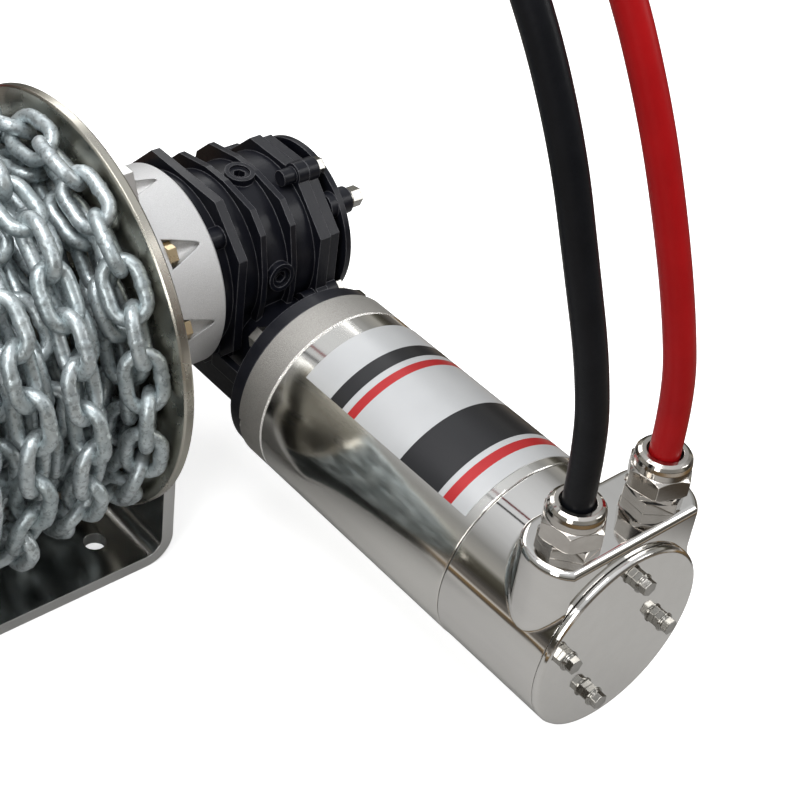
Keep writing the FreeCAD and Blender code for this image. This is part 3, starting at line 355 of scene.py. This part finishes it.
def blasted_metal():
    """Bead-blasted ring whose slanted chamfers are bright."""
    finish = Finish("blasted_metal", metallic=0.85)
    slant = finish.facing("Y")
    rising = map_range(finish.tree, slant, 0.25, 0.35, 0.0, 1.0)
    falling = map_range(finish.tree, slant, 0.93, 0.97, 1.0, 0.0)
    chamfer = maths(finish.tree, "MULTIPLY", rising, falling)
    grain = finish.mask("mottle", Scale=2200.0, Hardness=3.0, Detail=2.0)
    base = finish.mix(grain, (0.33, 0.32, 0.30), (0.47, 0.455, 0.43))
    finish.colour(finish.mix(chamfer, base, (0.90, 0.88, 0.85)))
    finish.roughness_with(grain, 0.50, 0.62, chamfer, 0.2)
    finish.bump([(grain, 0.00008)], 0.0003)
    return finish.material


def plated_steel(name, light, dark, low=0.2, high=0.36):
    """Small turned or pressed steel parts: plated, slightly stained, edges rounded."""
    finish = Finish(name, metallic=1.0)
    stain = finish.mask("mottle", Scale=110.0, Hardness=1.8, Detail=3.0)
    finish.colour(finish.mix(stain, light, dark))
    finish.roughness(stain, low, high)
    finish.bump([(stain, 0.00001)], 0.0005)
    return finish.material


def soft_plastic(name, light, dark, scale=300.0, low=0.38, high=0.52):
    """Rubber, jackets and boards: two close tones with a fine grain."""
    finish = Finish(name)
    finish.shader.inputs["Specular IOR Level"].default_value = 0.2
    grain = finish.mask("mottle", Scale=scale, Hardness=2.0, Detail=5.0)
    dust = finish.mask("mottle", Scale=scale * 0.12, Hardness=2.0, Detail=3.0)
    finish.colour(finish.mix(dust, light, dark))
    finish.roughness(grain, low, high)
    finish.bump([(grain, 0.00004)], 0.0004)
    return finish.material


# The label's bands: where each starts and ends along the motor, and its colour.
BAND_BLACK, BAND_RED = (0.010, 0.010, 0.012), (0.42, 0.012, 0.015)
LABEL_BANDS = [(-0.120, -0.112, BAND_BLACK), (-0.128, -0.1235, BAND_RED),
               (-0.182, -0.158, BAND_BLACK), (-0.190, -0.185, BAND_RED)]


def label_foil():
    """Silver foil label with two plain dark bands and two narrow red ones."""
    finish = Finish("label_foil", metallic=0.3, coat=0.2, coat_roughness=0.2)
    place = finish.tree.nodes.new("ShaderNodeTexCoord")
    along = add_node(finish.tree, "ShaderNodeSeparateXYZ")
    join(finish.tree, place.outputs["Object"], along.inputs[0])
    brushed = finish.mask("streaks", Stretch=(1.0, 1.0, 1.0), Scale=40.0)
    colour = finish.mix(brushed, (0.47, 0.478, 0.485), (0.53, 0.538, 0.545))
    for start, end, paint in LABEL_BANDS:
        inside = maths(finish.tree, "MULTIPLY",
                       maths(finish.tree, "GREATER_THAN", along.outputs["Y"], start),
                       maths(finish.tree, "LESS_THAN", along.outputs["Y"], end))
        colour = finish.mix(inside, colour, paint)
    finish.colour(colour)
    finish.roughness(brushed, 0.30, 0.38)
    finish.bump([(brushed, 0.000005)], 0.0002)
    return finish.material


def build_materials():
    GROUPS["mottle"] = build_mottle_group()
    GROUPS["streaks"] = build_streaks_group()
    GROUPS["worn_edges"] = build_edge_group()
    GROUPS["turning_marks"] = build_rings_group()
    return {
        "chain_zinc": chain_zinc(),
        "sleeve": polished_stainless("sleeve_stainless", (0.80, 0.785, 0.75), 0.08, 0.18),
        "cap": polished_stainless("cap_stainless", (0.76, 0.745, 0.72), 0.04, 0.10),
        "flange": flange_stainless(),
        "plate": plate_stainless(),
        "silver_paint": silver_paint(),
        "black_enamel": black_enamel(),
        "blasted": blasted_metal(),
        "gold_screw": plated_steel("gold_screw", (0.66, 0.54, 0.36), (0.50, 0.40, 0.25)),
        "steel": plated_steel("bright_steel", (0.42, 0.41, 0.385), (0.28, 0.27, 0.25), 0.14, 0.26),
        "nickel": plated_steel("gland_nickel", (0.62, 0.59, 0.55), (0.48, 0.45, 0.415), 0.06, 0.13),
        "bronze": plated_steel("wheel_bronze", (0.62, 0.43, 0.20), (0.45, 0.30, 0.14)),
        "copper": plated_steel("turned_copper", (0.72, 0.36, 0.22), (0.52, 0.25, 0.15)),
        "tin": plated_steel("tinned_copper", (0.66, 0.65, 0.62), (0.52, 0.50, 0.47)),
        "ferrite": soft_plastic("ferrite", (0.05, 0.05, 0.055), (0.09, 0.09, 0.095)),
        "carbon": soft_plastic("carbon", (0.03, 0.03, 0.03), (0.06, 0.06, 0.06)),
        "board": soft_plastic("brush_board", (0.20, 0.10, 0.05), (0.28, 0.15, 0.08)),
        "seal": soft_plastic("seal_rubber", (0.012, 0.012, 0.012), (0.03, 0.03, 0.03)),
        "black_jacket": soft_plastic("black_jacket", (0.004, 0.0045, 0.006), (0.008, 0.0085, 0.011),
                                     420.0, 0.34, 0.44),
        "red_jacket": soft_plastic("red_jacket", (0.44, 0.007, 0.009), (0.36, 0.005, 0.007),
                                   420.0, 0.34, 0.44),
        "label": label_foil(),
    }


NODE_FINISH = {
    "plate": ["base_frame"],
    "flange": ["drum_flange_left", "drum_flange_right", "drum_barrel", "drum_hubs"],
    "sleeve": ["motor_sleeve"],
    "cap": ["end_cap", "end_plate"],
    "silver_paint": ["drive_housing", "left_bearing_housing"],
    "black_enamel": ["gearbox_case", "gearbox_end_cover", "gearbox_end_disc", "motor_yoke", "filler_plugs",
                     "worm_bearing_cover"],
    "blasted": ["motor_adapter_ring", "brush_end_frame"],
    "gold_screw": ["drive_housing_screws", "left_housing_screws"],
    "steel": ["drum_shaft", "motor_shaft", "worm", "wheel_key", "shaft_coupling", "main_bearing",
              "end_bearing", "worm_bearings", "motor_end_bearing", "armature", "gearbox_cover_bolts",
              "motor_flange_screws", "gearbox_screws", "worm_cover_screws", "shaft_end_fixing",
              "end_plate_fixings", "breather_plug"],
    "nickel": ["black_gland_body", "black_gland_nut", "red_gland_adapter", "red_gland_body",
               "red_gland_nut"],
    "bronze": ["worm_wheel", "left_bush"],
    "ferrite": ["field_magnets"],
    "copper": ["commutator"],
    "carbon": ["brushes"],
    "board": ["brush_plate"],
    "seal": ["black_gland_seal", "red_gland_seal", "red_gland_gasket", "end_cap_gaskets", "shaft_seal"],
    "tin": ["black_terminal", "red_terminal"],
    "label": ["motor_label"],
    "chain_zinc": ["wound_chain"],
    "black_jacket": ["black_cable"],
    "red_jacket": ["red_cable"],
}


def dress_cad_nodes(materials):
    for finish, names in NODE_FINISH.items():
        for name in names:
            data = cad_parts[name].data
            data.materials.clear()
            data.materials.append(materials[finish])


# --- battery cables -------------------------------------------------------------

# The cables' routes, in millimetres, from inside each gland nut to the terminal.
BLACK_ROUTE = [
    (147.4, -244.5, 138), (147.4, -244.5, 174), (143.4, -239.5, 210), (136.6, -230.3, 250),
    (130.2, -219.8, 292), (120.9, -202.5, 338), (109, -175, 385), (96, -134, 421), (82, -83, 438),
    (68, -30, 432), (56, 20, 404), (46, 60, 363), (39, 88, 314), (34, 106, 262),
    (31, 118, 210), (29, 128, 160), (27.5, 137, 112), (25, 146, 65), (12.6, 157, 37.5),
    (-7.5, 174.8, 18), (-33, 196, 6.5), (-65, 208.5, 6.5), (-95, 215, 6.5)]
RED_ROUTE = [
    (194.6, -244.5, 140.5), (194.6, -244.5, 176), (188.2, -238.4, 215), (181.2, -229, 254),
    (174.1, -217.1, 293), (165.2, -199.2, 336), (153.5, -171, 381), (140.5, -131, 415), (127, -82.5, 431),
    (114, -31, 426), (101.5, 18, 400), (91, 59, 360), (83, 90, 312), (77, 112, 261),
    (73, 127, 210), (70, 138, 160), (67, 147, 112), (63, 156, 65), (50.5, 167, 37.5),
    (30.5, 184.8, 18), (5, 206, 6.5), (-27, 219.5, 6.5), (-57, 226, 6.5)]
CABLE_DIAMETER = 12.6 * MM


def lay_cable(name, node, route, material):
    curve = bpy.data.curves.new(name, "CURVE")
    curve.dimensions = "3D"
    spline = curve.splines.new("NURBS")
    spline.points.add(len(route) - 1)
    for point, place in zip(spline.points, route):
        point.co = (*(c * MM for c in place), 1)
    spline.order_u = 3
    spline.use_endpoint_u = True
    spline.resolution_u = 8
    curve.bevel_depth = CABLE_DIAMETER / 2
    curve.bevel_resolution = 8
    curve.use_fill_caps = True
    curve.materials.append(material)
    cable = bpy.data.objects.new(name, curve)
    scene.collection.objects.link(cable)
    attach(cable, "frame")
    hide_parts(node)


# --- chain ----------------------------------------------------------------------

WIRE_RADIUS = 3.15 * MM
LINK_PITCH = 18.4 * MM
LINK_HALF_WIDTH = 7.3 * MM
LINK_HALF_STRAIGHT = 5.0 * MM
WELD_SWELL, WELD_WIDTH = 0.14, 0.9 * MM
# Layers from the barrel out: radius of the chain's middle, and where its turns lie, in mm along the drum.
LAYERS = [
    (56 * MM, [-66, -44, -22, 0, 22, 44, 66]),
    (70 * MM, [65, 45, 25, 3, -19, -41, -64]),
    (83.5 * MM, [-66, -41, -14, 12, 39, 65.5])]
CHAIN_SIDE_LIMIT = 74.3 * MM
WANDER_ALONG, WANDER_OUT = 2.6, 1.8
SAG_ANGLE, SAG_DEPTH, SAG_SPACING = math.radians(132), 8 * MM, 30 * MM
# Each turn keeps to its place until it is behind the drum, and crosses to the next one there.
CROSSING_START, CROSSING_END = math.radians(215), math.radians(325)
STEPS_PER_TURN = 240
# Rings round each end of a link, rings along each straight, and points round its wire.
OUTER_DETAIL, INNER_DETAIL = (9, 8, 12), (7, 4, 9)


def wander(a, b, seed):
    """Smooth repeatable drift between about -1 and 1."""
    return 1.6 * noise.noise(Vector((a, b, seed)))


def smooth_step(share):
    share = max(0.0, min(1.0, share))
    return share * share * (3 - 2 * share)


def slack(angle, x):
    """How far the outer turns sag away from the drum low down in front."""
    low_front = max(0.0, math.cos(angle - SAG_ANGLE))
    return SAG_DEPTH * low_front ** 5 * (0.5 + 0.5 * math.cos(x / SAG_SPACING))


def chain_turns():
    """Every turn in order: radius, place along the drum, then the same for the turn it leads to."""
    turns = [(radius, x * MM) for radius, places in LAYERS for x in places]
    return [(*here, *after) for here, after in zip(turns, turns[1:] + turns[-1:])]


def chain_line():
    """Fine points along the wound chain: (place, direction away from the drum axis, turn number)."""
    points = []
    outermost = LAYERS[-1][0]
    for turn, (radius, x, next_radius, next_x) in enumerate(chain_turns()):
        for step in range(STEPS_PER_TURN):
            angle = CROSSING_END - math.tau + math.tau * step / STEPS_PER_TURN
            crossing = smooth_step((angle - CROSSING_START) / (CROSSING_END - CROSSING_START))
            along = turn + step / STEPS_PER_TURN
            place = x + (next_x - x) * crossing + wander(along * 5.1, 0.4, 8.7) * WANDER_ALONG * MM
            reach = (radius + (next_radius - radius) * crossing
                     + wander(along * 6.3, 0.9, 3.1) * WANDER_OUT * MM)
            if radius == outermost:
                reach += slack(angle, x)
            out = Vector((0, -math.sin(angle), math.cos(angle)))
            points.append((Vector((place, 0, DRUM_AXIS_Z)) + out * reach, out, turn))
    return points


def link_places():
    """Places of the link centres, one pitch apart along the chain's line."""
    places = []
    last = None
    for place, out, turn in chain_line():
        if last is None or (place - last).length >= LINK_PITCH:
            places.append((place, out, turn))
            last = place
    return places


def link_rings(arc_steps, straight_steps):
    """Centreline of one link: (along, across, outward along, outward across, distance from the weld)."""
    rings = []
    for side in (1, -1):
        for i in range(straight_steps):
            along = side * LINK_HALF_STRAIGHT * (2 * i / straight_steps - 1)
            rings.append((along, side * LINK_HALF_WIDTH, 0.0, side, along if side > 0 else 1.0))
        for i in range(arc_steps):
            angle = math.pi * i / arc_steps
            out_along, out_across = side * math.sin(angle), side * math.cos(angle)
            rings.append((side * LINK_HALF_STRAIGHT + LINK_HALF_WIDTH * out_along,
                          LINK_HALF_WIDTH * out_across, out_along, out_across, 1.0))
    return rings


def add_link(vertices, faces, tones, centre, along, across, normal, detail, tone):
    arc_steps, straight_steps, sides = detail
    rings = link_rings(arc_steps, straight_steps)
    first = len(vertices)
    for ring_along, ring_across, out_along, out_across, weld in rings:
        middle = centre + along * ring_along + across * ring_across
        outward = along * out_along + across * out_across
        swell = 1 + WELD_SWELL * math.exp(-(weld / WELD_WIDTH) ** 2)
        for k in range(sides):
            angle = math.tau * k / sides
            spoke = outward * math.cos(angle) + normal * math.sin(angle)
            vertices.append(middle + spoke * WIRE_RADIUS * swell)
            tones.append(tone)
    count = len(rings)
    for i in range(count):
        for k in range(sides):
            a = first + i * sides + k
            b = first + i * sides + (k + 1) % sides
            c = first + ((i + 1) % count) * sides + (k + 1) % sides
            d = first + ((i + 1) % count) * sides + k
            faces.append((a, b, c, d))


def wind_chain(material):
    """The whole chain as one piece: links at right angles to their neighbours, rolling slowly."""
    places = link_places()
    vertices, faces, tones = [], [], []
    outer_turn = len(chain_turns()) - len(LAYERS[-1][1]) - 1
    for i in range(1, len(places) - 1):
        centre, out, turn = places[i]
        along = (places[i + 1][0] - places[i - 1][0]).normalized()
        sideways = along.cross(out).normalized()
        upward = sideways.cross(along)
        roll = math.radians(28 + 42 * wander(i * 0.09, turn, 5.5) + 12 * wander(i * 0.9, 0.2, 1.5)
                            + 90 * (i % 2))
        across = sideways * math.cos(roll) + upward * math.sin(roll)
        normal = along.cross(across)
        tip = math.radians(8 * wander(i * 0.7, 0.6, 9.1))
        tipped = along * math.cos(tip) + across * math.sin(tip)
        across = across * math.cos(tip) - along * math.sin(tip)
        reach = WIRE_RADIUS + abs(across.x) * LINK_HALF_WIDTH
        centre = centre.copy()
        centre.x = max(reach - CHAIN_SIDE_LIMIT, min(CHAIN_SIDE_LIMIT - reach, centre.x))
        detail = OUTER_DETAIL if turn > outer_turn else INNER_DETAIL
        add_link(vertices, faces, tones, centre, tipped, across, normal, detail,
                 0.5 + 0.5 * wander(i * 1.7, 0.3, 2.2))
    mesh = bpy.data.meshes.new("chain_links")
    mesh.from_pydata(vertices, [], faces)
    mesh.polygons.foreach_set("use_smooth", [True] * len(mesh.polygons))
    mesh.attributes.new("link_tone", "FLOAT", "POINT").data.foreach_set("value", tones)
    mesh.materials.append(material)
    chain = bpy.data.objects.new("chain_links", mesh)
    scene.collection.objects.link(chain)
    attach(chain, "drum")
    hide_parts("wound_chain")


# --- studio ---------------------------------------------------------------------

def camera_or_other(tree, for_camera, for_others):
    """Colour that camera rays see, and the one that lights and reflects."""
    rays = tree.nodes.new("ShaderNodeLightPath")
    mix = add_node(tree, "ShaderNodeMix", data_type="RGBA")
    join(tree, rays.outputs["Is Camera Ray"], mix.inputs["Factor"])
    for socket, value in ((mix.inputs[6], for_others), (mix.inputs[7], for_camera)):
        if isinstance(value, tuple):
            socket.default_value = (*value, 1.0)
        else:
            join(tree, value, socket)
    return mix.outputs[2]


FLOOR_HALF_WIDTH = 6.0
# Centre of the floor's rings in reflections, its rings by distance in metres, and its glow to the camera.
FLOOR_CENTRE = (0.10, -0.16, 0.0)
FLOOR_NEAR, FLOOR_FAR = (0.44, 0.435, 0.43), (0.12, 0.11, 0.10)
FLOOR_RINGS = [(0.26, (0.38, 0.375, 0.365)), (0.29, (0.05, 0.042, 0.034)), (0.42, (0.20, 0.13, 0.06)),
               (0.46, (0.45, 0.43, 0.40)), (0.62, (0.10, 0.09, 0.08))]
FLOOR_GLOW = 0.62


def fill_ramp(tree, factor, first, last, stops):
    """Colour ramp over factor: first and last colours, with stops (position, colour) between."""
    ramp = tree.nodes.new("ShaderNodeValToRGB")
    join(tree, factor, ramp.inputs["Fac"])
    ramp.color_ramp.elements[0].color = (*first, 1)
    ramp.color_ramp.elements[1].color = (*last, 1)
    for position, colour in stops:
        ramp.color_ramp.elements.new(position).color = (*colour, 1)
    return ramp.outputs["Color"]


def build_floor():
    """White paper to the camera; in reflections it ends in a darker room around it."""
    mesh = bpy.data.meshes.new("floor")
    half = FLOOR_HALF_WIDTH
    corners = [(-half, -half, 0), (half, -half, 0), (half, half, 0), (-half, half, 0)]
    mesh.from_pydata(corners, [], [(0, 1, 2, 3)])
    floor = bpy.data.objects.new("floor", mesh)
    scene.collection.objects.link(floor)
    material = bpy.data.materials.new("floor_paper")
    material.use_nodes = True
    tree = material.node_tree
    shader = tree.nodes["Principled BSDF"]
    shader.inputs["Roughness"].default_value = 0.9
    shader.inputs["Specular IOR Level"].default_value = 0.0
    place = tree.nodes.new("ShaderNodeTexCoord")
    offset = add_node(tree, "ShaderNodeVectorMath", operation="SUBTRACT")
    join(tree, place.outputs["Object"], offset.inputs[0])
    offset.inputs[1].default_value = FLOOR_CENTRE
    away = add_node(tree, "ShaderNodeVectorMath", operation="LENGTH")
    join(tree, offset.outputs["Vector"], away.inputs[0])
    rings = fill_ramp(tree, away.outputs["Value"], FLOOR_NEAR, FLOOR_FAR, FLOOR_RINGS)
    join(tree, camera_or_other(tree, (0.85, 0.85, 0.85), rings), shader.inputs["Base Color"])
    shader.inputs["Emission Color"].default_value = (1, 1, 1, 1)
    rays = tree.nodes.new("ShaderNodeLightPath")
    join(tree, map_range(tree, rays.outputs["Is Camera Ray"], 0, 1, 0.0, FLOOR_GLOW),
         shader.inputs["Emission Strength"])
    mesh.materials.append(material)


def add_light(name, place, target, size, power):
    data = bpy.data.lights.new(name, "AREA")
    data.shape = "RECTANGLE"
    data.size, data.size_y = size
    data.energy = power
    light = bpy.data.objects.new(name, data)
    scene.collection.objects.link(light)
    light.location = place
    light.rotation_mode = "QUATERNION"
    light.rotation_quaternion = (Vector(target) - Vector(place)).to_track_quat("-Z", "Y")


# The room in reflections, from below the horizon to straight up.
ROOM_LOWEST, ROOM_HIGHEST = (0.10, 0.095, 0.09), (0.95, 0.97, 1.0)
ROOM_BANDS = [(0.14, (0.05, 0.045, 0.035)), (0.26, (0.10, 0.095, 0.075)), (0.33, (0.42, 0.41, 0.38)),
              (0.52, (0.30, 0.30, 0.29)), (0.72, (0.62, 0.63, 0.64))]


def build_world():
    """White to the camera; in reflections a room with a dark horizon and a paler ceiling."""
    world = bpy.data.worlds.new("studio")
    scene.world = world
    world.use_nodes = True
    tree = world.node_tree
    background = tree.nodes["Background"]
    place = tree.nodes.new("ShaderNodeTexCoord")
    part = tree.nodes.new("ShaderNodeSeparateXYZ")
    join(tree, place.outputs["Generated"], part.inputs[0])
    height = map_range(tree, part.outputs["Z"], -0.1, 1.0, 0.0, 1.0)
    room = fill_ramp(tree, height, ROOM_LOWEST, ROOM_HIGHEST, ROOM_BANDS)
    join(tree, camera_or_other(tree, (1.0, 1.0, 1.0), room), background.inputs["Color"])
    background.inputs["Strength"].default_value = 1.0


def build_studio():
    build_world()
    add_light("top_softbox", (-0.25, -0.1, 1.5), (0.1, -0.1, 0.1), (1.0, 0.8), 15)
    add_light("left_softbox", (-1.3, -0.9, 0.8), (0.05, -0.05, 0.1), (0.5, 1.0), 9)
    add_light("back_softbox", (0.5, 1.2, 1.1), (0.15, -0.1, 0.1), (1.1, 0.5), 6)
    add_light("right_softbox", (1.2, -1.0, 0.9), (0.15, -0.1, 0.1), (0.35, 1.0), 5)
    scene.view_settings.view_transform = "Standard"
    scene.view_settings.look = "None"


# --- build ----------------------------------------------------------------------

set_up_camera()
materials = build_materials()
lay_cable("battery_cable_black", "black_cable", BLACK_ROUTE,
          materials["black_jacket"])
lay_cable("battery_cable_red", "red_cable", RED_ROUTE,
          materials["red_jacket"])
dress_cad_nodes(materials)
wind_chain(materials["chain_zinc"])
build_floor()
build_studio()
